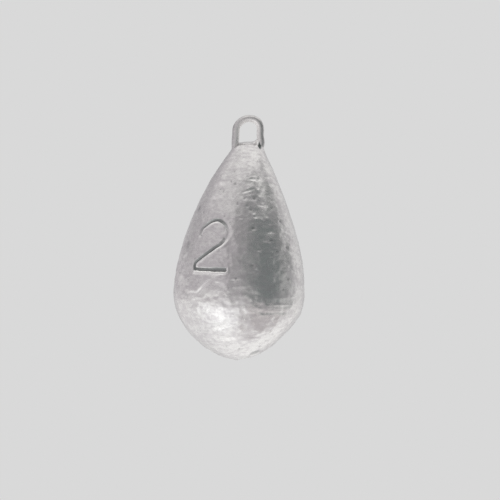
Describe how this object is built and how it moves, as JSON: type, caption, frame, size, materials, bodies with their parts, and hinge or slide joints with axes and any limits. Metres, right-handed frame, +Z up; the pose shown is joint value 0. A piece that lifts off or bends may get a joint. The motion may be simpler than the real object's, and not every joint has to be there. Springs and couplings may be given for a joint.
{
  "type": "plumb bob",
  "caption": "Small cast lead plumb bob, a smooth drop shape with a blunt point, an incised weight numeral and a wire eye cast into its crown for the line.",
  "frame": {"origin": "where the line bears: the top of the wire eye's opening, on the bob's own axis. The point of the drop hangs straight below it", "axes": "+Z up along the line and the bob's axis; the wire eye lies in the XZ plane; the weight numeral is on the front, which faces -Y, left of the middle at -X"},
  "size_m": [0.0188, 0.0188, 0.0354],
  "materials": {
    "cast_lead": "satin, as cast: soft grey metal with fine grain, small pits, scuffs and a brighter rim where it has been handled",
    "tinned_wire": "bright drawn wire, tinned"
  },
  "bodies": {
    "root": {"lead_body": "cast_lead", "wire_eye": "tinned_wire"}
  },
  "joints": []
}
